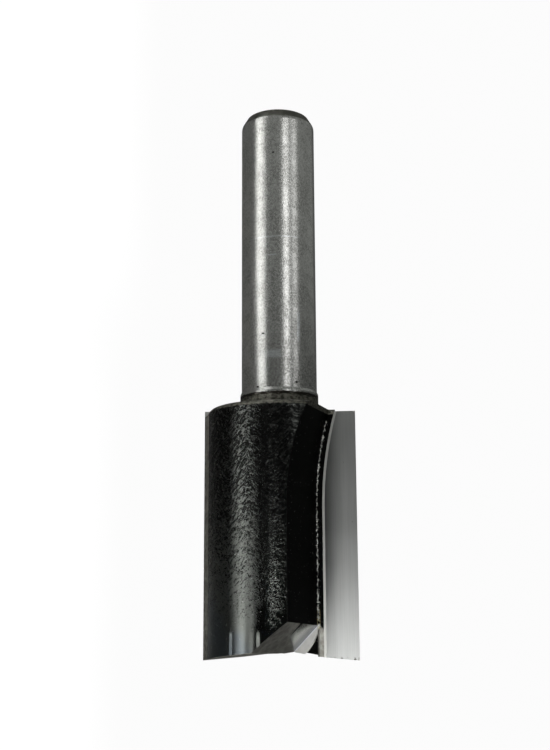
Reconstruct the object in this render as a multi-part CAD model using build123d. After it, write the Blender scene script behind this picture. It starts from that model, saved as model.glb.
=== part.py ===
"""Straight two-flute router bit, tipped with carbide, with a small plunge tip in its end.

One steel blank is turned, its two gullets and tip seats are milled, and the carbide is
brazed in. The bit is built upright on its own axis, with the cutting end at zero height
and the side tips at zero and 180 degrees, and then laid down as it comes to rest.
All sizes are in millimetres and all angles in degrees.
"""
from build123d import *
from math import atan2, cos, degrees, radians, sin, sqrt, tan
import os

# --- Shank and neck ---------------------------------------------------------
SHANK_DIAMETER = 12.7
SHANK_LENGTH = 49.0
SHANK_CHAMFER_WIDTH = 0.9
SHANK_CHAMFER_HEIGHT = 1.5
SHANK_CHAMFER_ROUND = 1.5
NECK_DIAMETER = 13.15
NECK_LENGTH = 2.95
NECK_FLARE_HEIGHT = 0.45
NECK_FILLET = 0.4

# --- Fluted body -----------------------------------------------------------
BODY_DIAMETER = 24.0
BODY_LENGTH = 40.8
SHOULDER_ROUND = 1.2
GULLET_CORNER_X = 6.0
GULLET_CORNER_RADIUS = 0.5
GULLET_FLOOR_LEAN = 18.0
STRAIGHT_MILLED_LENGTH = 24.5
CORNER_RUN_OUT_RADIUS = 60.0
HEEL_RUN_OUT_RADIUS = 40.0

# --- Side tips -----------------------------------------------------------
CUTTER_DIAMETER = 25.4
TIP_LENGTH = 40.5
TIP_WIDTH = 5.3
TIP_THICKNESS = 2.0
TIP_SIDE_RELIEF = 10.0
TIP_TOP_CHAMFER = 0.4
FACE_STANDOFF = 0.15
LAND_ANGLE = 20.0

# --- Brazed joints ---------------------------------------------------------
BRAZE_FILM = 0.12
BRAZE_BEAD = 0.4

# --- Cutting end ------------------------------------------------------------
END_DISH = 5.0
END_RELIEF = 4.5
GASH_SLOPE = 41.2
GASH_RISES_TOWARD = -22.3
GASH_AXIS_HEIGHT = 0.67
GASH_WALL_OFFSET = 3.42
GASH_WALL_TURN = 56.7

# --- Plunge tip ------------------------------------------------------------
PLUNGE_LEAN = 56.5
PLUNGE_WIDTH = 3.0
PLUNGE_THICKNESS = 1.6
PLUNGE_CURVE_FOOT = (2.32, 0.97)
PLUNGE_CURVE_MIDDLE = (4.24, 3.22)
PLUNGE_CURVE_HEAD = (5.29, 5.65)
PLUNGE_POCKET_DEPTH = 1.5

# --- Sizes that follow ---------------------------------------------------------
SHANK_RADIUS = SHANK_DIAMETER / 2
NECK_RADIUS = NECK_DIAMETER / 2
BODY_RADIUS = BODY_DIAMETER / 2
CUTTER_RADIUS = CUTTER_DIAMETER / 2
NECK_TOP = BODY_LENGTH + NECK_LENGTH
OVERALL_LENGTH = NECK_TOP + SHANK_LENGTH
ROUND_START = BODY_LENGTH - SHOULDER_ROUND
TIP_INNER_X = CUTTER_RADIUS - TIP_WIDTH
SEAT_INNER_X = TIP_INNER_X - BRAZE_BEAD
SEAT_DEPTH = TIP_THICKNESS + BRAZE_FILM
RUN_OUT_CENTRE_X = GULLET_CORNER_X + CORNER_RUN_OUT_RADIUS
# Cutting tools reach this far past the steel that they remove.
CLEAR = 2.0
REACH = CUTTER_RADIUS + CLEAR
# Side of the blocks that stand for ground-off waste, more than the bit's own length.
WASTE_SIDE = 400.0
# An edge this near to a plane lies in it.
IN_PLANE = 0.01
# Steps along the shoulder's round at which the wing's heel is tried against the table.
HEEL_TRIES = 400
QUARTER_TURN = radians(90)


def run_out_x(wall_x, radius, height):
    """Place of a milled wall: upright, then curving outwards on the wheel's radius."""
    above = max(0.0, height - STRAIGHT_MILLED_LENGTH)
    return wall_x + radius - sqrt(radius**2 - above**2)


def milled_outline(plane_y, wall_x, radius, top, outer_x):
    """Face across the bit, bounded inside by the milled wall and its run-out arc."""
    middle = (STRAIGHT_MILLED_LENGTH + top) / 2
    foot = (wall_x, -CLEAR)
    bend = (wall_x, STRAIGHT_MILLED_LENGTH)
    on_arc = (run_out_x(wall_x, radius, middle), middle)
    head = (run_out_x(wall_x, radius, top), top)
    outline = Curve() + [
        Line((outer_x, -CLEAR), foot),
        Line(foot, bend),
        ThreePointArc(bend, on_arc, head),
        Line(head, (outer_x, top)),
        Line((outer_x, top), (outer_x, -CLEAR)),
    ]
    upright = Plane(origin=(0, plane_y, 0), x_dir=(1, 0, 0), z_dir=(0, -1, 0))
    return upright * make_face(outline)


def other_side(shape):
    """The same shape half a turn round the bit's axis."""
    return Rot(0, 0, 180) * shape


def turned_blank():
    """Shank, neck and body, turned from one bar."""
    profile = Curve() + [
        Polyline((0, 0), (BODY_RADIUS, 0), (BODY_RADIUS, ROUND_START)),
        RadiusArc(
            (BODY_RADIUS, ROUND_START),
            (BODY_RADIUS - SHOULDER_ROUND, BODY_LENGTH),
            -SHOULDER_ROUND,
        ),
        Line((BODY_RADIUS - SHOULDER_ROUND, BODY_LENGTH), (NECK_RADIUS + NECK_FILLET, BODY_LENGTH)),
        RadiusArc(
            (NECK_RADIUS + NECK_FILLET, BODY_LENGTH),
            (NECK_RADIUS, BODY_LENGTH + NECK_FILLET),
            NECK_FILLET,
        ),
        Polyline(
            (NECK_RADIUS, BODY_LENGTH + NECK_FILLET),
            (NECK_RADIUS, NECK_TOP - NECK_FLARE_HEIGHT),
            (SHANK_RADIUS, NECK_TOP),
            (SHANK_RADIUS, OVERALL_LENGTH - SHANK_CHAMFER_HEIGHT),
            (SHANK_RADIUS - SHANK_CHAMFER_WIDTH, OVERALL_LENGTH),
            (0, OVERALL_LENGTH),
            (0, 0),
        ),
    ]
    bar = revolve(Plane.XZ * make_face(profile), Axis.Z)
    rims = bar.edges().filter_by(GeomType.CIRCLE).sort_by(Axis.Z)[-2:]
    return fillet(rims.sort_by(SortBy.RADIUS)[-1], SHANK_CHAMFER_ROUND)


def backing_land():
    """Ground steel land that carries the tip's relief on to the body's round."""
    front_x = CUTTER_RADIUS - SEAT_DEPTH * tan(radians(TIP_SIDE_RELIEF))
    end_x = BODY_RADIUS * cos(radians(LAND_ANGLE))
    end_y = BODY_RADIUS * sin(radians(LAND_ANGLE))
    outline = Polyline(
        (TIP_INNER_X, SEAT_DEPTH),
        (front_x, SEAT_DEPTH),
        (end_x, end_y),
        (TIP_INNER_X, end_y),
        close=True,
    )
    return extrude(make_face(outline), ROUND_START)


def gullet():
    """Chip gullet ahead of the tip at zero degrees, with a wheel's run-out at its head."""
    top = BODY_LENGTH + CLEAR
    outer_floor_x = GULLET_CORNER_X - (REACH + FACE_STANDOFF) * tan(radians(GULLET_FLOOR_LEAN))
    at_face = milled_outline(FACE_STANDOFF, GULLET_CORNER_X, CORNER_RUN_OUT_RADIUS, top, REACH)
    at_outside = milled_outline(-REACH, outer_floor_x, HEEL_RUN_OUT_RADIUS, top, REACH)
    wedge = loft([at_face, at_outside], ruled=True)
    corner = wedge.edges().filter_by(
        lambda edge: abs(edge.center().Y - FACE_STANDOFF) < IN_PLANE
        and edge.center().X < TIP_INNER_X + CLEAR
        and edge.center().Z > 0
        and edge.center().Z < BODY_LENGTH
    )
    return fillet(corner, GULLET_CORNER_RADIUS)


def seat_block(depth, top, outer_x):
    """Room that a side tip and its braze take in the wing."""
    face = milled_outline(0, SEAT_INNER_X, RUN_OUT_CENTRE_X - SEAT_INNER_X, top, outer_x)
    return extrude(face, -depth)


def relieved_side(block):
    """Cut the outer side back behind the cutting edge."""
    normal = (cos(radians(TIP_SIDE_RELIEF)), sin(radians(TIP_SIDE_RELIEF)), 0)
    plane = Plane(origin=(CUTTER_RADIUS, 0, 0), z_dir=normal)
    beyond = Box(WASTE_SIDE, WASTE_SIDE, REACH, align=(Align.CENTER, Align.CENTER, Align.MIN))
    return block - plane * beyond


def end_waste():
    """Steel and carbide ground off one half of the end: a dish with relief behind the edge."""
    normal = (tan(radians(END_DISH)), -tan(radians(END_RELIEF)), 1)
    plane = Plane(origin=(CUTTER_RADIUS, 0, 0), x_dir=(1, 0, -normal[0]), z_dir=normal)
    below = plane * Box(WASTE_SIDE, WASTE_SIDE, REACH, align=(Align.CENTER, Align.CENTER, Align.MAX))
    behind_edge = Box(WASTE_SIDE, REACH, WASTE_SIDE, align=(Align.CENTER, Align.MIN, Align.CENTER))
    return below & behind_edge


def gash_waste():
    """Steel ground from the web's end, up to an upright wall, to open it to the gullet."""
    slope = tan(radians(GASH_SLOPE))
    rises = radians(GASH_RISES_TOWARD)
    normal = (-slope * cos(rises), -slope * sin(rises), 1)
    plane = Plane(origin=(0, 0, GASH_AXIS_HEIGHT), z_dir=normal)
    below = plane * Box(WASTE_SIDE, WASTE_SIDE, REACH, align=(Align.CENTER, Align.CENTER, Align.MAX))
    turn = radians(GASH_WALL_TURN)
    wall_y = (GASH_WALL_OFFSET - GULLET_CORNER_X * cos(turn)) / sin(turn)
    far_y = (GASH_WALL_OFFSET + REACH * cos(turn)) / sin(turn)
    region = Polyline(
        (GULLET_CORNER_X, -REACH),
        (GULLET_CORNER_X, wall_y),
        (-REACH, far_y),
        (-REACH, -REACH),
        close=True,
    )
    prism = Pos(0, 0, -CLEAR) * extrude(make_face(region), REACH)
    return below & prism


def gash_wall():
    """Plane of the gash's upright wall, facing the axis, with its own Y upwards."""
    turn = radians(GASH_WALL_TURN)
    foot = (GASH_WALL_OFFSET * cos(turn), GASH_WALL_OFFSET * sin(turn), 0)
    along = (sin(turn), -cos(turn), 0)
    facing = (-cos(turn), -sin(turn), 0)
    return Plane(origin=foot, x_dir=along, z_dir=facing)


def land_reach():
    """Distance along the gash's wall from its foot to the steel land beside the tip."""
    turn = radians(GASH_WALL_TURN)
    return (GULLET_CORNER_X - GASH_WALL_OFFSET * cos(turn)) / sin(turn)


def plunge_outline(margin):
    """Outline of the plunge tip in the gash's wall, with a margin on its brazed sides."""
    lean = radians(PLUNGE_LEAN)
    foot = (PLUNGE_CURVE_FOOT[0] + margin, PLUNGE_CURVE_FOOT[1])
    middle = (PLUNGE_CURVE_MIDDLE[0] + margin, PLUNGE_CURVE_MIDDLE[1])
    head = (PLUNGE_CURVE_HEAD[0] + margin, PLUNGE_CURVE_HEAD[1] + margin)
    low = -CLEAR
    low_x = foot[0] - (foot[1] - low) / tan(lean)
    shift = (PLUNGE_WIDTH + margin) / sin(lean)
    outline = Curve() + [
        Line((low_x, low), foot),
        ThreePointArc(foot, middle, head),
        Polyline(
            head,
            (foot[0] + (head[1] - foot[1]) / tan(lean) - shift, head[1]),
            (low_x - shift, low),
            (low_x, low),
        ),
    ]
    return gash_wall() * make_face(outline)


def straight_back(face, depth):
    """Push a face in the gash's wall straight back, so that its free side has clearance."""
    return extrude(face, depth / sin(radians(GASH_WALL_TURN)), dir=(0, 1, 0))


def plunge_pocket():
    """Recess between the plunge tip's free side and the steel land."""
    top = PLUNGE_CURVE_HEAD[1]
    room = Polyline(
        (0, -CLEAR),
        PLUNGE_CURVE_FOOT,
        (PLUNGE_CURVE_MIDDLE[0], top),
        (land_reach(), top),
        (land_reach(), -CLEAR),
        close=True,
    )
    beside = straight_back(gash_wall() * make_face(room), PLUNGE_POCKET_DEPTH)
    return beside - straight_back(plunge_outline(0), PLUNGE_THICKNESS)


def side_tip():
    """Carbide strip with a curved inner edge, a side relief and a chamfered head."""
    radius = RUN_OUT_CENTRE_X - TIP_INNER_X
    blank = extrude(milled_outline(0, TIP_INNER_X, radius, TIP_LENGTH, CUTTER_RADIUS), -TIP_THICKNESS)
    head = blank.edges().filter_by(Axis.Y).sort_by(Axis.Z)[-2:].sort_by(Axis.X)[-1]
    return relieved_side(chamfer(head, TIP_TOP_CHAMFER))


def bit_body():
    """The finished steel body."""
    waste_end = end_waste()
    seat = seat_block(SEAT_DEPTH, BODY_LENGTH + CLEAR, REACH)
    cutter = gullet()
    gash = gash_waste()
    body = turned_blank() + backing_land() + other_side(backing_land())
    for waste in (cutter, seat, gash, waste_end):
        body = body - waste - other_side(waste)
    body = body - straight_back(plunge_outline(BRAZE_FILM), PLUNGE_THICKNESS + BRAZE_FILM)
    return body - plunge_pocket()


def heel_point(turn):
    """Where the gullet's floor meets the shoulder's round, at a turn along that round."""
    height = ROUND_START + SHOULDER_ROUND * sin(turn)
    radius = BODY_RADIUS - SHOULDER_ROUND * (1 - cos(turn))
    outer_floor_x = GULLET_CORNER_X - (REACH + FACE_STANDOFF) * tan(radians(GULLET_FLOOR_LEAN))
    near_x = run_out_x(GULLET_CORNER_X, CORNER_RUN_OUT_RADIUS, height)
    far_x = run_out_x(outer_floor_x, HEEL_RUN_OUT_RADIUS, height)
    step_x = far_x - near_x
    step_y = -REACH - FACE_STANDOFF
    a = step_x**2 + step_y**2
    b = 2 * (near_x * step_x + FACE_STANDOFF * step_y)
    c = near_x**2 + FACE_STANDOFF**2 - radius**2
    share = (sqrt(b**2 - 4 * a * c) - b) / (2 * a)
    return near_x + share * step_x, FACE_STANDOFF + share * step_y


def table_angle():
    """Angle between the table and the edge's own radius, as the bit leans on its furthest heel."""
    angles = []
    for step in range(HEEL_TRIES):
        x, y = heel_point(QUARTER_TURN * step / HEEL_TRIES)
        angles.append(atan2(-y, CUTTER_RADIUS - x))
    return max(angles)


def resting_place():
    """Move from the bit's own axis to the table, on one cutting edge and the far wing's heel."""
    angle = table_angle()
    axis_height = CUTTER_RADIUS * sin(angle)
    up_angle = degrees(angle) - 90
    return Pos(OVERALL_LENGTH / 2, 0, axis_height) * Rot(0, -90, 0) * Rot(0, 0, -up_angle)


def build():
    """All pieces, by node name, in the resting frame."""
    waste_end = end_waste()
    tip = side_tip() - waste_end
    fill = relieved_side(seat_block(SEAT_DEPTH, TIP_LENGTH, CUTTER_RADIUS))
    braze = fill - tip - waste_end
    plunge = straight_back(plunge_outline(0), PLUNGE_THICKNESS) - waste_end
    plunge_fill = straight_back(plunge_outline(BRAZE_FILM), PLUNGE_THICKNESS + BRAZE_FILM)
    plunge_braze = plunge_fill - plunge - waste_end - plunge_pocket()
    pieces = {
        "steel_body": bit_body(),
        "side_tip_a": tip,
        "side_tip_b": other_side(tip),
        "plunge_tip": plunge,
        "side_braze_a": braze,
        "side_braze_b": other_side(braze),
        "plunge_braze": plunge_braze,
    }
    place = resting_place()
    return {name: place * shape for name, shape in pieces.items()}


os.makedirs("parts", exist_ok=True)
for node, shape in build().items():
    export_step(shape, "parts/" + node + ".step")
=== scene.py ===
import bpy
import math
import numpy as np
from mathutils import Matrix, Vector


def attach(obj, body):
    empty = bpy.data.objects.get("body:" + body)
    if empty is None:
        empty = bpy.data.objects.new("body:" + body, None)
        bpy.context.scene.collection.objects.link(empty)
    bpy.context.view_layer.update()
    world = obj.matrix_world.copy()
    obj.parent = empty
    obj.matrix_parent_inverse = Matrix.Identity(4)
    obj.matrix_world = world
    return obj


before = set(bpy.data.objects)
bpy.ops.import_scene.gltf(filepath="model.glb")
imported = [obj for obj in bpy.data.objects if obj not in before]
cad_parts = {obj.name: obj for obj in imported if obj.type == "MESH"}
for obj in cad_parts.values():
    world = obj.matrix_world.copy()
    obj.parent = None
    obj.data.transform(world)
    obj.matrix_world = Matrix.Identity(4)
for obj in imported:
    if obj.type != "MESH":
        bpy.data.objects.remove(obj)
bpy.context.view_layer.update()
scene = bpy.context.scene

# --- Steel body ---------------------------------------------------------------
# One turned and milled steel blank: a ground shank, a short neck, and a fluted body
# dipped in black paint. Its cutting end and the lands behind the tips are ground bare.

# The bit lies on its side: its own axis runs along X, this high above the table, and
# its own zero angle is turned this far from straight up. Its length is in millimetres.
BIT_LENGTH = 92.75
AXIS_HEIGHT = 10.448
ZERO_TURN = math.radians(-34.6462)


def bit_axes():
    """Rotation from the table's axes to the bit's own: its zero angle, its quarter turn, its shank."""
    c, s = math.cos(ZERO_TURN), math.sin(ZERO_TURN)
    return Matrix(((0, -s, c), (0, c, s), (-1, 0, 0)))


class Finish:
    """One finish, as a material's nodes, with one short call for each kind of node."""

    def __init__(self, name):
        self.material = bpy.data.materials.new(name)
        self.material.use_nodes = True
        self.tree = self.material.node_tree
        self.tree.nodes.clear()
        self.output = self.tree.nodes.new("ShaderNodeOutputMaterial")

    def node(self, kind, settings=None, **inputs):
        """Node of that kind, with its settings and its inputs by name; _ stands for a space."""
        made = self.tree.nodes.new("ShaderNode" + kind)
        for key, value in (settings or {}).items():
            setattr(made, key, value)
        for key, value in inputs.items():
            self.put(made.inputs[key.replace("_", " ")], value)
        return made

    def put(self, socket, value):
        """Link a value that another node gives, or set a plain one."""
        if isinstance(value, bpy.types.NodeSocket):
            self.tree.links.new(value, socket)
        else:
            socket.default_value = value

    def calc(self, operation, *values):
        """One step of arithmetic."""
        made = self.tree.nodes.new("ShaderNodeMath")
        made.operation = operation
        for socket, value in zip(made.inputs, values):
            self.put(socket, value)
        return made.outputs[0]

    def step(self, value, low, high):
        """0 below low, 1 above high and smooth between; the other way where low is the larger."""
        made = self.node("MapRange", {"interpolation_type": "SMOOTHSTEP"}, Value=value)
        self.put(made.inputs["From Min"], low)
        self.put(made.inputs["From Max"], high)
        return made.outputs["Result"]

    def blend(self, share, one, two):
        """Colour between one and two."""
        made = self.node("Mix", {"data_type": "RGBA"})
        for socket, value in zip((made.inputs[0], made.inputs[6], made.inputs[7]), (share, one, two)):
            self.put(socket, value)
        return made.outputs[2]

    def between(self, share, one, two):
        """Number between one and two."""
        made = self.node("Mix", {"data_type": "FLOAT"})
        for socket, value in zip((made.inputs[0], made.inputs[2], made.inputs[3]), (share, one, two)):
            self.put(socket, value)
        return made.outputs[0]

    def bit_place(self):
        """Place in the bit's own axes, in millimetres, whole and as x, y, z, radius and angle."""
        place = self.node("TexCoord").outputs["Object"]
        turned = self.node("Mapping", {"vector_type": "POINT"}, Vector=place)
        axes = bit_axes()
        turned.inputs["Scale"].default_value = (1000, 1000, 1000)
        turned.inputs["Rotation"].default_value = axes.to_euler("XYZ")
        shift = axes @ Vector((0, 0, -AXIS_HEIGHT)) + Vector((0, 0, BIT_LENGTH / 2))
        turned.inputs["Location"].default_value = shift
        whole = turned.outputs[0]
        parts = self.node("SeparateXYZ", Vector=whole)
        x, y, z = parts.outputs
        radius = self.reach(x, y)
        angle = self.calc("ARCTAN2", y, x)
        return whole, x, y, z, radius, angle

    def reach(self, one, two):
        """Length of the slant over two lengths at right angles."""
        squares = self.calc("ADD", self.calc("MULTIPLY", one, one), self.calc("MULTIPLY", two, two))
        return self.calc("SQRT", squares)

    def noise(self, place, scale, detail=2.0, rough=0.5, warp=0.0):
        """Uneven value between 0 and 1; the scale counts its cells in each millimetre."""
        settings = {"Scale": scale, "Detail": detail, "Roughness": rough, "Distortion": warp}
        return self.node("TexNoise", Vector=place, **settings).outputs["Fac"]

    def stretched(self, place, factors):
        """Place with its three parts multiplied by the factors."""
        made = self.node("VectorMath", {"operation": "MULTIPLY"})
        self.put(made.inputs[0], place)
        self.put(made.inputs[1], factors)
        return made.outputs[0]

    def joined(self, x, y, z):
        """Place made of three numbers."""
        made = self.node("CombineXYZ", X=x, Y=y, Z=z)
        return made.outputs[0]

    def bump(self, height, depth):
        """Relief of that depth in millimetres, where the height runs from 0 to 1."""
        return self.node("Bump", Height=height, Distance=depth / 1000, Strength=1.0).outputs[0]

    def surface(self, **inputs):
        """One coat or metal, by the names of its inputs."""
        return self.node("BsdfPrincipled", **inputs).outputs[0]

    def mix(self, share, one, two):
        """Surface between one and two."""
        made = self.node("MixShader")
        for socket, value in zip(made.inputs, (share, one, two)):
            self.put(socket, value)
        return made.outputs[0]

    def done(self, surface):
        """The material, with that surface on it."""
        self.put(self.output.inputs["Surface"], surface)
        return self.material


SHANK_RADIUS = 6.35
CHAMFER_FOOT = BIT_LENGTH - 1.55
# Azimuth on the bit from which the places round the shank are counted.
SHANK_FRONT = math.radians(-84.2)
# Small dark pits in the shank: place round it and along it, and radius, in millimetres.
SHANK_PITS = (
    (-0.85, 84.5, 0.24),
    (-2.75, 52.8, 0.25),
    (-3.8, 43.9, 0.27),
    (2.9, 44.6, 0.26),
    (5.9, 44.4, 0.2),
)
# Light smears from the collet: place round it and along it, half width and half height.
SHANK_SMEARS = (
    (-1.2, 66.3, 0.95, 0.12),
    (-0.9, 49.3, 1.2, 0.75),
    (-1.0, 69.5, 4.5, 0.10),
    (3.4, 54.0, 0.3, 2.5),
)


def ground_shank(s, whole, around, z, angle):
    """Bright shank: fine grinding grain with painted glints, faint rings, a few lengthwise rubs and pits.
    """
    grain = s.noise(s.stretched(around, (1, 1, 0.7)), 3.6, 4.0, 0.75)
    waves = s.noise(s.stretched(around, (1.2, 1, 0.12)), 1.1, 3.0, 0.6)
    rings = s.noise(s.stretched(around, (0.08, 1, 5)), 2.2, 3.0, 0.7)
    rubs = s.step(s.noise(s.stretched(around, (5, 1, 0.10)), 1.3, 3.0, 0.6), 0.62, 0.72)
    stain = s.step(s.noise(whole, 0.33, 5.0, 0.62, 0.6), 0.40, 0.62)
    specks = s.step(s.noise(whole, 2.6, 2.0, 0.5), 0.27, 0.22)
    relief = s.calc("ADD", s.calc("MULTIPLY", grain, 1.0), s.calc("MULTIPLY", rings, 0.2))
    relief = s.calc("ADD", relief, s.calc("MULTIPLY", waves, 0.12))
    colour = s.blend(stain, (0.52, 0.52, 0.495, 1), (0.73, 0.73, 0.705, 1))
    # Painted glints: the grain's high spots are painted lighter, over a base darkened a little between
    # them.
    painted_glint = s.step(grain, 0.40, 0.60)
    shaded = s.blend(0.2, colour, (0, 0, 0, 1))
    colour = s.blend(s.calc("MULTIPLY", painted_glint, 0.7), shaded, (0.84, 0.84, 0.82, 1))
    colour = s.blend(s.calc("MULTIPLY", rubs, 0.7), colour, (0.88, 0.88, 0.86, 1))
    colour = s.blend(specks, colour, (0.16, 0.15, 0.13, 1))
    from_front = s.calc("MULTIPLY", s.calc("SUBTRACT", angle, SHANK_FRONT), SHANK_RADIUS)
    uneven = s.calc("SUBTRACT", grain, 0.5)
    for place, height, radius in SHANK_PITS:
        across = s.calc("SUBTRACT", from_front, place)
        along = s.calc("MULTIPLY", s.calc("SUBTRACT", z, height), 1.3)
        gap = s.calc("ADD", s.reach(across, along), s.calc("MULTIPLY", uneven, 0.25))
        colour = s.blend(s.step(gap, radius, 0.7 * radius), colour, (0.02, 0.018, 0.015, 1))
    for place, height, wide, tall in SHANK_SMEARS:
        across = s.calc("DIVIDE", s.calc("ABSOLUTE", s.calc("SUBTRACT", from_front, place)), wide)
        along = s.calc("DIVIDE", s.calc("ABSOLUTE", s.calc("SUBTRACT", z, height)), tall)
        edge = s.calc("ADD", s.calc("MAXIMUM", across, along), s.calc("MULTIPLY", uneven, 3.0))
        smear = s.calc("MULTIPLY", s.step(edge, 1.15, 0.5), 0.75)
        colour = s.blend(smear, colour, (0.90, 0.93, 0.95, 1))
    roughness = s.between(stain, 0.25, 0.18)
    ground = s.bump(relief, 0.017)
    bright = s.surface(Base_Color=colour, Metallic=1.0, Roughness=roughness, Normal=ground)
    turned = s.surface(
        Base_Color=s.blend(stain, (0.15, 0.15, 0.13, 1), (0.24, 0.24, 0.215, 1)),
        Metallic=1.0,
        Roughness=0.42,
        Normal=s.bump(rings, 0.01),
    )
    return s.mix(s.step(z, CHAMFER_FOOT, CHAMFER_FOOT + 0.2), bright, turned)


# The neck lies between the painted body and the shank.
NECK_FOOT = 40.0
NECK_HEAD = 43.0


def dull_neck(s, whole, around, z):
    """Neck: dull grey-green steel under a ragged brown-black band, with scraped light streaks."""
    ragged = s.noise(s.stretched(around, (0.7, 1, 2.2)), 1.7, 4.0, 0.7)
    band = s.step(s.calc("ADD", z, s.calc("MULTIPLY", ragged, 1.3)), NECK_HEAD, NECK_HEAD + 0.3)
    streaks = s.step(s.noise(s.stretched(around, (0.5, 1, 4.5)), 1.5, 3.0, 0.6), 0.56, 0.64)
    mottle = s.noise(whole, 1.6, 4.0, 0.7)
    olive = s.blend(s.step(mottle, 0.38, 0.62), (0.055, 0.056, 0.044, 1), (0.23, 0.225, 0.19, 1))
    colour = s.blend(band, olive, (0.018, 0.015, 0.010, 1))
    colour = s.blend(s.calc("MULTIPLY", streaks, 0.8), colour, (0.36, 0.34, 0.29, 1))
    return s.surface(Base_Color=colour, Metallic=0.7, Roughness=0.5, Normal=s.bump(ragged, 0.09))


BODY_RADIUS = 12.0
# Where the count of places round the body starts, and half the width of an arch of wrinkles.
ARCH_FOOT = 22.9
HALF_ARCH = 3.56
# Places round the body where the dip has run into thick drips.
PAINT_RUNS = (2.06, -3.49)


def black_paint(s, whole, z, radius, angle):
    """Glossy black dip: a scaly wrinkled skin that smooths out towards the cutting end."""
    # The wrinkles hang in rows of arches, and places round the body count from an arch's foot.
    place_round = s.calc("ADD", s.calc("MULTIPLY", angle, radius), ARCH_FOOT)
    arch = s.calc("MULTIPLY", s.calc("PINGPONG", place_round, HALF_ARCH), 0.55)
    drift = s.calc("MULTIPLY", s.noise(whole, 1.3, 2.0), 1.2)
    level = s.calc("ADD", z, s.calc("ADD", arch, drift))
    rows = s.joined(s.calc("ADD", place_round, drift), radius, s.calc("MULTIPLY", level, 1.7))
    wrinkles = s.noise(rows, 2.3, 4.0, 0.7)
    flow = s.calc("ADD", z, s.calc("MULTIPLY", s.noise(whole, 0.35, 2.0), 7.0))
    scaly = s.step(flow, 6.0, 14.0)
    relief = s.calc("MULTIPLY", wrinkles, s.between(scaly, 0.06, 1.0))
    brink = s.between(s.step(flow, 6.0, 36.0), 0.40, 0.56)
    sunk = s.step(s.calc("SUBTRACT", wrinkles, brink), 0.09, -0.09)
    dull = s.calc("MULTIPLY", sunk, s.between(scaly, 0.0, 0.95))
    low = s.calc("MULTIPLY", s.step(z, 5.4, 3.4), s.step(z, 0.3, 1.4))
    for run in PAINT_RUNS:
        off = s.calc("ABSOLUTE", s.calc("SUBTRACT", place_round, run))
        drip = s.calc("MULTIPLY", s.step(off, 0.65, 0.0), low)
        relief = s.calc("ADD", relief, s.calc("MULTIPLY", drip, 4.0))
    dust = s.step(s.noise(whole, 3.6, 1.0, 0.4), 0.74, 0.77)
    patch = s.step(s.noise(whole, 0.22, 2.0), 0.42, 0.6)
    tint = s.blend(patch, (0.0010, 0.0014, 0.0022, 1), (0.0014, 0.0018, 0.0013, 1))
    colour = s.blend(dust, tint, (0.35, 0.36, 0.35, 1))
    bumps = s.bump(relief, 0.04)
    # The skin shines faintly green, and bluer where it is thick near the end.
    thick = s.step(s.calc("ADD", flow, place_round), 8.0, 2.0)
    shine = s.blend(thick, (0.95, 1.0, 0.93, 1), (0.78, 0.90, 1.0, 1))
    gloss = s.surface(
        Base_Color=colour,
        Roughness=0.09,
        IOR=1.85,
        Specular_IOR_Level=0.7,
        Specular_Tint=shine,
        Normal=bumps,
    )
    hollow = s.surface(Base_Color=(0.0012, 0.0014, 0.0012, 1), Roughness=0.35, IOR=1.13, Normal=bumps)
    skin = s.mix(dull, gloss, hollow)
    gullet_colour = s.blend(dust, (0.0008, 0.0011, 0.0009, 1), (0.35, 0.36, 0.35, 1))
    faint = s.bump(wrinkles, 0.015)
    smooth = s.surface(Base_Color=gullet_colour, Roughness=0.45, IOR=1.12, Normal=faint)
    floor_gap = s.calc("MULTIPLY", s.calc("SUBTRACT", BODY_RADIUS - 0.04, radius), 12.0)
    return s.mix(s.step(floor_gap, 0.0, 1.0), skin, smooth)


def bare_end(s, whole):
    """Ground steel of the cutting end: mottled grey-brown from the brazing heat."""
    mottle = s.noise(whole, 0.9, 4.0, 0.65, 0.4)
    lines = s.noise(s.stretched(whole, (4, 1, 4)), 2.0, 3.0, 0.6)
    colour = s.blend(s.step(mottle, 0.35, 0.65), (0.27, 0.262, 0.235, 1), (0.44, 0.435, 0.40, 1))
    relief = s.calc("ADD", lines, mottle)
    return s.surface(Base_Color=colour, Metallic=1.0, Roughness=0.5, Normal=s.bump(relief, 0.02))


# Each gash in the cutting end is a plane that starts this high on the axis and rises so much for
# each millimetre along x and y. It ends at an upright wall, given by its direction and its place.
GASH_HEIGHT = 0.67
GASH_X_RISE = math.tan(math.radians(41.2)) * math.cos(math.radians(-22.3))
GASH_Y_RISE = math.tan(math.radians(41.2)) * math.sin(math.radians(-22.3))
GASH_TOP = 6.8
WALL_X, WALL_Y, WALL_PLACE = 0.549, 0.836, 3.42


def polished_gash(s, whole, x, y):
    """Flat that the gash wheel has polished; towards the plunge tip its colour turns dark blue, a painted
    dark reflection.
    """
    lines = s.noise(s.stretched(whole, (5, 0.5, 5)), 1.5, 3.0, 0.6)
    colour = s.blend(lines, (0.25, 0.27, 0.245, 1), (0.35, 0.37, 0.34, 1))
    # Painted dark reflection: the colour darkens to blue towards the plunge tip.
    towards_tip = s.calc("ADD", s.calc("MULTIPLY", x, WALL_X), s.calc("MULTIPLY", y, WALL_Y))
    painted_dark_reflection = s.step(towards_tip, -0.4, 2.2)
    colour = s.blend(painted_dark_reflection, colour, (0.030, 0.036, 0.048, 1))
    return s.surface(Base_Color=colour, Metallic=1.0, Roughness=0.2, Normal=s.bump(lines, 0.006))


CUTTER_RADIUS = 12.7
# The end of each wing is dished towards the axis and relieved behind its edge.
END_DISH = math.tan(math.radians(5.0))
END_RELIEF = math.tan(math.radians(4.5))
# The polished flat of the plunge tip's wing lies past a corner, above a slanting line. The nick
# before it lies between that line and a steeper one from the same corner.
FLAT_CORNER_X, FLAT_CORNER_Y = 1.9, -5.1
FLAT_SLANT, NICK_SLANT = 0.4, 0.95


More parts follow.
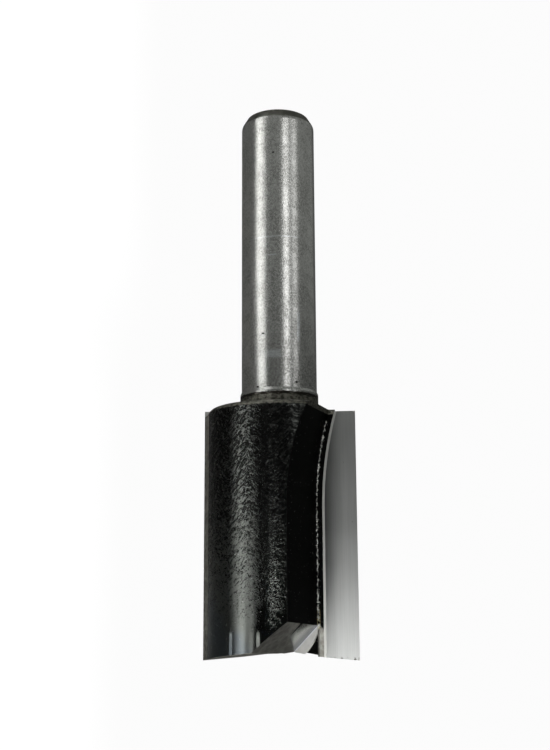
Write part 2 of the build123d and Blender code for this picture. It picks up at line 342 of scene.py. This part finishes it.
def ground_wing(s, look, bare, polished, place, turn):
    """Bare planes of one wing's end, over the look so far; turn is 1 for one wing, -1 for the other."""
    x, y, z, radius = place
    across, along = s.calc("MULTIPLY", x, turn), s.calc("MULTIPLY", y, turn)

    # The gash: the sloping plane, inside the body and as far as its upright wall.
    plane = s.calc("SUBTRACT", z, s.calc("MULTIPLY", x, turn * GASH_X_RISE))
    plane = s.calc("SUBTRACT", plane, s.calc("MULTIPLY", y, turn * GASH_Y_RISE))
    near = s.step(s.calc("ABSOLUTE", s.calc("SUBTRACT", plane, GASH_HEIGHT)), 0.06, 0.03)
    wall = s.calc("ADD", s.calc("MULTIPLY", x, turn * WALL_X), s.calc("MULTIPLY", y, turn * WALL_Y))
    in_body = s.step(radius, BODY_RADIUS - 0.03, BODY_RADIUS - 0.05)
    before_wall = s.step(wall, WALL_PLACE + 0.04, WALL_PLACE + 0.02)
    inside = s.calc("MULTIPLY", in_body, before_wall)
    gash = s.calc("MULTIPLY", near, s.calc("MULTIPLY", s.step(z, GASH_TOP, GASH_TOP - 0.1), inside))
    finish = bare
    if turn > 0:
        past = s.calc("SUBTRACT", across, FLAT_CORNER_X)
        beyond = s.calc("SUBTRACT", along, FLAT_CORNER_Y)
        beyond = s.calc("ADD", beyond, s.calc("MULTIPLY", past, FLAT_SLANT))
        flat = s.calc("MULTIPLY", s.step(past, -0.03, 0.04), s.step(beyond, -0.03, 0.03))
        nick = s.calc("MULTIPLY", s.step(past, 0.05, 0.15), s.step(beyond, 0.0, -0.04))
        steeper = s.calc("ADD", beyond, s.calc("MULTIPLY", past, NICK_SLANT - FLAT_SLANT))
        nick = s.calc("MULTIPLY", nick, s.step(steeper, -0.02, 0.02))
        # In the nick the gash keeps the dark black paint look instead of bare steel.
        finish = s.mix(flat, s.mix(nick, bare, look), polished)
    look = s.mix(gash, look, finish)

    # The dished end behind the cutting edge.
    inwards = s.calc("SUBTRACT", across, CUTTER_RADIUS)
    end = s.calc("ADD", z, s.calc("MULTIPLY", inwards, END_DISH))
    end = s.calc("SUBTRACT", end, s.calc("MULTIPLY", y, turn * END_RELIEF))
    ground = s.calc("MULTIPLY", s.step(s.calc("ABSOLUTE", end), 0.05, 0.03), s.step(along, -0.1, 0.0))
    return s.mix(ground, look, bare)


def beside_tips(s, look, bare, whole, place, edge_noise):
    """Strip of land beside each side tip: bare at the end, then stained by the braze, then painted."""
    x, y, z, ragged_z = place
    out, off = s.calc("ABSOLUTE", x), s.calc("ABSOLUTE", y)
    beside = s.calc("MULTIPLY", s.step(out, 5.9, 6.0), s.step(off, 0.4, 0.3))
    end_bare = s.step(s.calc("ADD", z, s.calc("MULTIPLY", edge_noise, 5.0)), 5.6, 5.0)
    look = s.mix(s.calc("MULTIPLY", beside, end_bare), look, bare)
    stained = s.calc("MULTIPLY", s.step(ragged_z, 8.4, 7.2), s.step(ragged_z, 4.6, 5.4))
    stained = s.calc("MULTIPLY", stained, s.step(out, 6.5, 6.2))
    stained = s.calc("MULTIPLY", stained, s.step(s.noise(whole, 3.0, 2.0), 0.42, 0.5))
    rough = s.bump(edge_noise, 0.05)
    brassy = s.surface(Base_Color=(0.62, 0.56, 0.34, 1), Metallic=1.0, Roughness=0.35, Normal=rough)
    return s.mix(s.calc("MULTIPLY", beside, stained), look, brassy)


def steel_body_material():
    """Paint, neck and shank one above the other, with the ground end and lands over them."""
    s = Finish("steel body")
    whole, x, y, z, radius, angle = s.bit_place()
    around = s.joined(s.calc("MULTIPLY", angle, radius), radius, z)
    edge_noise = s.calc("MULTIPLY", s.calc("SUBTRACT", s.noise(whole, 1.5, 3.0), 0.5), 0.5)
    ragged_z = s.calc("ADD", z, edge_noise)
    look = black_paint(s, whole, z, radius, angle)
    neck = s.step(ragged_z, NECK_FOOT - 0.05, NECK_FOOT + 0.1)
    look = s.mix(neck, look, dull_neck(s, whole, around, z))
    shank = s.step(ragged_z, NECK_HEAD - 0.05, NECK_HEAD + 0.05)
    look = s.mix(shank, look, ground_shank(s, whole, around, z, angle))
    bare = bare_end(s, whole)
    polished = polished_gash(s, whole, x, y)
    for turn in (1, -1):
        look = ground_wing(s, look, bare, polished, (x, y, z, radius), turn)
    past_body = s.step(radius, BODY_RADIUS + 0.01, BODY_RADIUS + 0.03)
    on_land = s.calc("MULTIPLY", past_body, s.step(z, NECK_FOOT - 0.3, NECK_FOOT - 0.4))
    look = s.mix(on_land, look, bare)
    return s.done(beside_tips(s, look, bare, whole, (x, y, z, ragged_z), edge_noise))


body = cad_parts["steel_body"]
body.data.materials.clear()
body.data.materials.append(steel_body_material())

# --- Side tips and plunge tip ---------------------------------------------------
# Strips of sintered carbide, brazed into milled seats and ground on the face and side.
# The grinding wheel leaves fine lines along the face.


def carbide_material():
    """Satin side tips: fine lines along the face, with painted shade towards the gullet and the shank."""
    s = Finish("carbide")
    whole, x, _, z = s.bit_place()[:4]
    lines = s.noise(s.joined(s.calc("MULTIPLY", x, 5.0), 0.5, s.calc("MULTIPLY", z, 0.08)), 1.2, 3.0, 0.7)
    cloud = s.noise(s.stretched(whole, (1, 1, 0.4)), 0.5, 2.0, 0.5)
    colour = s.blend(lines, (0.58, 0.59, 0.575, 1), (0.78, 0.79, 0.775, 1))
    # The wheel has hollowed the face a little towards the gullet.
    out = s.calc("ABSOLUTE", x)
    inward = s.calc("MAXIMUM", s.calc("SUBTRACT", 11.3, out), 0.0)
    hollow = s.calc("MULTIPLY", s.calc("MULTIPLY", inward, inward), -0.013)
    relief = s.bump(hollow, 1.0)
    # Painted shade: the face is darkened towards the gullet, more so towards the shank.
    shaded = s.calc("MULTIPLY", s.step(out, 11.0, 6.4), s.between(s.step(z, 0.0, 16.0), 0.15, 0.92))
    colour = s.blend(shaded, colour, (0.04, 0.042, 0.04, 1))
    # Painted shade, deepening up the face towards the shank.
    painted_upper_shade = s.calc("MULTIPLY", s.step(z, 5.0, 24.0), 0.38)
    colour = s.blend(painted_upper_shade, colour, (0.04, 0.042, 0.04, 1))
    # Small chips along the end edge, and a few dark specks.
    chips = s.step(s.noise(whole, 1.9, 3.0, 0.6), 0.52, 0.60)
    chips = s.calc("MULTIPLY", chips, s.step(z, 0.7, 0.15))
    specks = s.step(s.noise(whole, 1.3, 2.0, 0.5), 0.73, 0.76)
    colour = s.blend(s.calc("MAXIMUM", chips, specks), colour, (0.13, 0.12, 0.10, 1))
    roughness = s.between(cloud, 0.30, 0.38)
    return s.done(s.surface(Base_Color=colour, Metallic=1.0, Roughness=roughness, Normal=relief))


def plunge_material():
    """Freshly ground plunge tip, with a painted highlight as a narrow near-white strip along its slanting
    side.
    """
    s = Finish("plunge carbide")
    whole, x, y, z = s.bit_place()[:4]
    lines = s.noise(s.stretched(whole, (3, 3, 0.8)), 1.5, 3.0, 0.6)
    cloud = s.noise(whole, 1.1, 3.0, 0.6)
    gash = s.calc("ADD", s.calc("MULTIPLY", x, GASH_X_RISE), GASH_HEIGHT)
    gash = s.calc("ADD", gash, s.calc("MULTIPLY", y, GASH_Y_RISE))
    # Painted highlight: a narrow near-white strip where the face meets the gash plane.
    strip = s.step(s.calc("SUBTRACT", gash, z), 0.26, 0.20)
    colour = s.blend(cloud, (0.74, 0.73, 0.71, 1), (0.95, 0.95, 0.91, 1))
    colour = s.blend(strip, colour, (0.95, 0.96, 0.97, 1))
    # The wheel cut a little deeper towards the end, so the face looks down at the table.
    height = s.calc("ADD", s.calc("MULTIPLY", z, 0.36), s.calc("MULTIPLY", lines, 0.012))
    relief = s.bump(height, 1.0)
    return s.done(s.surface(Base_Color=colour, Metallic=1.0, Roughness=0.5, Normal=relief))


carbide = carbide_material()
tip_finishes = {"side_tip_a": carbide, "side_tip_b": carbide, "plunge_tip": plunge_material()}
for name, finish in tip_finishes.items():
    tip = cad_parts[name]
    tip.data.materials.clear()
    tip.data.materials.append(finish)

# --- Braze ---------------------------------------------------------------------
# Silver braze that has run out beside each tip, and was ground flush with its face.


def braze_material():
    """Pale silver braze with a soft cloudy surface."""
    s = Finish("braze")
    whole = s.bit_place()[0]
    cloud = s.noise(s.stretched(whole, (1, 1, 0.4)), 1.4, 4.0, 0.6)
    colour = s.blend(cloud, (0.60, 0.60, 0.57, 1), (0.80, 0.80, 0.76, 1))
    return s.done(s.surface(Base_Color=colour, Metallic=1.0, Roughness=0.34, Normal=s.bump(cloud, 0.02)))


braze = braze_material()
for name in ("side_braze_a", "side_braze_b", "plunge_braze"):
    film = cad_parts[name]
    film.data.materials.clear()
    film.data.materials.append(braze)

# --- Flux beads ------------------------------------------------------------------
# Glassy flux and paint that gathered as a lumpy bead in each gullet's inner corner
# when the tips were brazed. It follows the corner up to its run-out.
BEAD_LOW, BEAD_HIGH = 6.3, 39.0
BEAD_X, BEAD_Y = 6.10, 0.03
BEAD_ROWS, BEAD_CORNERS = 620, 10
# The gullet's corner is straight up to this height, and bends out on this radius above it.
BEND_HEIGHT, BEND_RADIUS = 24.5, 60.0


def flux_bead(name, turn):
    """Tube along the gullet's corner. Its radius is a base, a slow swell and lumps; the lumps are
    where the product of two uneven sines of the height is above 0. Both ends taper shut."""
    height = np.linspace(BEAD_LOW, BEAD_HIGH, BEAD_ROWS)[:, None]
    round_it = np.linspace(0, 2 * np.pi, BEAD_CORNERS, endpoint=False)[None, :]
    small_lumps = np.sin(11.3 * height + 2.1 * np.sin(2.3 * height))
    lumps = small_lumps * np.sin(4.7 * height + 1.4 * np.sin(1.1 * height))
    swell = 0.5 + 0.5 * np.sin(0.9 * height + 1.3 * np.sin(0.37 * height))
    radius = 0.07 + 0.21 * np.clip(lumps, 0, 1) * (0.4 + 0.6 * swell) + 0.06 * swell
    taper = np.clip((height - BEAD_LOW) * 4, 0, 1) * np.clip((BEAD_HIGH - height) * 4, 0, 1)
    radius = radius * taper + 0.01
    above = np.clip(height - BEND_HEIGHT, 0, None)
    centre_x = BEAD_X + BEND_RADIUS - np.sqrt(BEND_RADIUS**2 - above**2) + 0.06 * np.sin(5.1 * height)
    x = turn * (centre_x + radius * np.cos(round_it))
    y = turn * (BEAD_Y + radius * np.sin(round_it))
    z = height + 0 * round_it
    to_table = np.array(bit_axes().transposed())
    place = np.stack([x, y, z - BIT_LENGTH / 2], axis=-1).reshape(-1, 3) @ to_table.T / 1000
    place[:, 2] += AXIS_HEIGHT / 1000
    row = np.arange(BEAD_ROWS - 1)[:, None] * BEAD_CORNERS
    corner = np.arange(BEAD_CORNERS)[None, :]
    neighbour = (corner + 1) % BEAD_CORNERS
    above_row = row + BEAD_CORNERS
    sides = np.stack([row + corner, row + neighbour, above_row + neighbour, above_row + corner], axis=-1)
    first_ring = np.arange(BEAD_CORNERS)
    last_ring = first_ring + (BEAD_ROWS - 1) * BEAD_CORNERS
    ends = [first_ring[::-1].tolist(), last_ring.tolist()]
    shape = bpy.data.meshes.new(name)
    shape.from_pydata(place.tolist(), [], sides.reshape(-1, 4).tolist() + ends)
    shape.shade_smooth()
    bead = bpy.data.objects.new(name, shape)
    scene.collection.objects.link(bead)
    return bead


def flux_material():
    """Black glassy flux with bright patches: braze caught in it, and painted highlights on its lumps."""
    s = Finish("flux")
    whole = s.bit_place()[0]
    # Bright patches, partly braze and partly painted highlights on the lumps.
    braze_and_glints = s.step(s.noise(whole, 2.2, 3.0, 0.6), 0.40, 0.52)
    colour = s.blend(braze_and_glints, (0.004, 0.005, 0.004, 1), (0.85, 0.85, 0.80, 1))
    relief = s.bump(braze_and_glints, 0.02)
    return s.done(s.surface(Base_Color=colour, Metallic=braze_and_glints, Roughness=0.45, IOR=1.6, Normal=relief))


flux = flux_material()
for name, turn in (("flux_bead_a", 1), ("flux_bead_b", -1)):
    bead = flux_bead(name, turn)
    bead.data.materials.append(flux)
    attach(bead, "root")

# --- Floor ---------------------------------------------------------------------
# A plain pale sheet under the bit. Seen straight it is near white and keeps a faint
# shadow. In a reflection it is dim, with the lit strip in front of the bit on it.
SHEET_SIDE = 6.0
# How much plain white covers its matt grey, seen straight and in a reflection.
WHITE_SEEN = 0.97
WHITE_REFLECTED = 0.035
bpy.ops.mesh.primitive_plane_add(size=SHEET_SIDE, location=(0, 0, 0))
floor = bpy.context.object
floor.name = "floor"
s = Finish("floor")
rays = s.node("LightPath")
reflected = s.calc("MAXIMUM", rays.outputs["Is Glossy Ray"], rays.outputs["Is Transmission Ray"])
seen = s.calc("MULTIPLY", rays.outputs["Is Camera Ray"], WHITE_SEEN)
white_share = s.calc("ADD", seen, s.calc("MULTIPLY", reflected, WHITE_REFLECTED))
matt = s.node("BsdfDiffuse", Color=(0.70, 0.70, 0.69, 1)).outputs[0]
white = s.node("Emission", Color=(1, 1, 1, 1), Strength=1.0).outputs[0]
floor.data.materials.append(s.done(s.mix(white_share, matt, white)))

# --- Light and camera ------------------------------------------------------------
# Three narrow lamps light strips of the sheet in front of the bit. Two soft panels above
# and two beyond the cutting end show in the metal. The room is dim, and grey past the shank.
STRIP_SPREAD = math.radians(62)
PANEL_DISTANCE = 0.5


def soft_lamp(name, place, aim, size, radiance, lights_sheet):
    """Rectangular lamp of that size in metres and that brightness, turned to face a point. It
    either lights the sheet or shows in the metal."""
    lamp = bpy.data.lights.new(name, "AREA")
    lamp.shape = "RECTANGLE"
    lamp.size, lamp.size_y = size
    lamp.energy = radiance * math.pi * size[0] * size[1]
    made = bpy.data.objects.new(name, lamp)
    scene.collection.objects.link(made)
    made.location = place
    facing = (Vector(aim) - Vector(place)).normalized()
    side = Vector((1, 0, 0))
    side = (side - facing * side.dot(facing)).normalized()
    turn = Matrix((side, -facing.cross(side), -facing)).transposed()
    made.rotation_euler = turn.to_euler()
    made.visible_glossy = not lights_sheet
    made.visible_diffuse = lights_sheet
    return made


def toward(start, along, rise):
    """Where a panel hangs, seen from a start: its share along X and its rise above the near horizon."""
    flat = math.sqrt(1 - along**2)
    rise = math.radians(rise)
    direction = Vector((along, -flat * math.cos(rise), flat * math.sin(rise)))
    return Vector(start) + PANEL_DISTANCE * direction


# Name, place, the point it faces, size, and brightness.
strips = (
    ("near strip, shank", (-0.105, -0.021, 0.038), (-0.105, -0.041, 0), (0.19, 0.005), 20.0),
    ("near strip, body", (0.095, -0.026, 0.036), (0.095, -0.046, 0), (0.19, 0.005), 20.0),
    ("far strip", (-0.04, -0.045, 0.20), (-0.04, -0.160, 0), (0.40, 0.03), 11.0),
)
for name, place, aim, size, radiance in strips:
    strip = soft_lamp(name, place, aim, size, radiance, True)
    strip.data.spread = STRIP_SPREAD

# Name, the point it faces, its share along x and its rise, size, and brightness.
panels = (
    ("upper panel", (-0.02, 0, 0.01), -0.31, 64.0, (0.23, 0.14), 1.3),
    ("high panel", (-0.02, 0, 0.01), -0.34, 91.0, (0.22, 0.14), 0.7),
    ("end panel", (0.03, 0, 0.01), 0.38, 31.0, (0.18, 0.14), 8.0),
    ("gash panel", (0.04, 0, 0.01), 0.72, 12.0, (0.30, 0.20), 7.0),
)
for name, aim, along, rise, size, radiance in panels:
    soft_lamp(name, toward(aim, along, rise), aim, size, radiance, False)

# The room brightens from dim to grey between these shares of direction along x.
DIM, GREY = 0.014, 0.21
DIM_END, GREY_START = -0.12, -0.30
world = bpy.data.worlds.new("room")
scene.world = world
world.use_nodes = True
tree = world.node_tree
direction = tree.nodes.new("ShaderNodeTexCoord")
shares = tree.nodes.new("ShaderNodeSeparateXYZ")
tree.links.new(direction.outputs["Generated"], shares.inputs[0])
fade = tree.nodes.new("ShaderNodeMapRange")
fade.interpolation_type = "SMOOTHSTEP"
fade.inputs["From Min"].default_value = DIM_END
fade.inputs["From Max"].default_value = GREY_START
fade.inputs["To Min"].default_value = DIM
fade.inputs["To Max"].default_value = GREY
tree.links.new(shares.outputs["X"], fade.inputs["Value"])
tree.links.new(fade.outputs["Result"], tree.nodes["Background"].inputs["Strength"])
tree.nodes["Background"].inputs["Color"].default_value = (0.97, 1.0, 0.96, 1)

# The camera stands beside the cutting end and looks down across the bit, turned so that the
# shank points to the top of the picture. Its place is in metres, its lens in millimetres.
CAMERA_PLACE = (0.036191, -0.138549, 0.127447)
camera = bpy.data.cameras.new("camera")
camera.sensor_width = 36.0
camera.lens = 52.358
camera.clip_start = 0.01
viewer = bpy.data.objects.new("camera", camera)
scene.collection.objects.link(viewer)
right, up, ahead = (
    Vector((0.005097, 0.648981, 0.760788)),
    Vector((-0.980068, -0.147853, 0.132691)),
    Vector((-0.198598, 0.746300, -0.635291)),
)
turn = Matrix((right, up, -ahead)).transposed()
viewer.matrix_world = Matrix.Translation(CAMERA_PLACE) @ turn.to_4x4()
scene.camera = viewer
scene.view_settings.view_transform = "Standard"
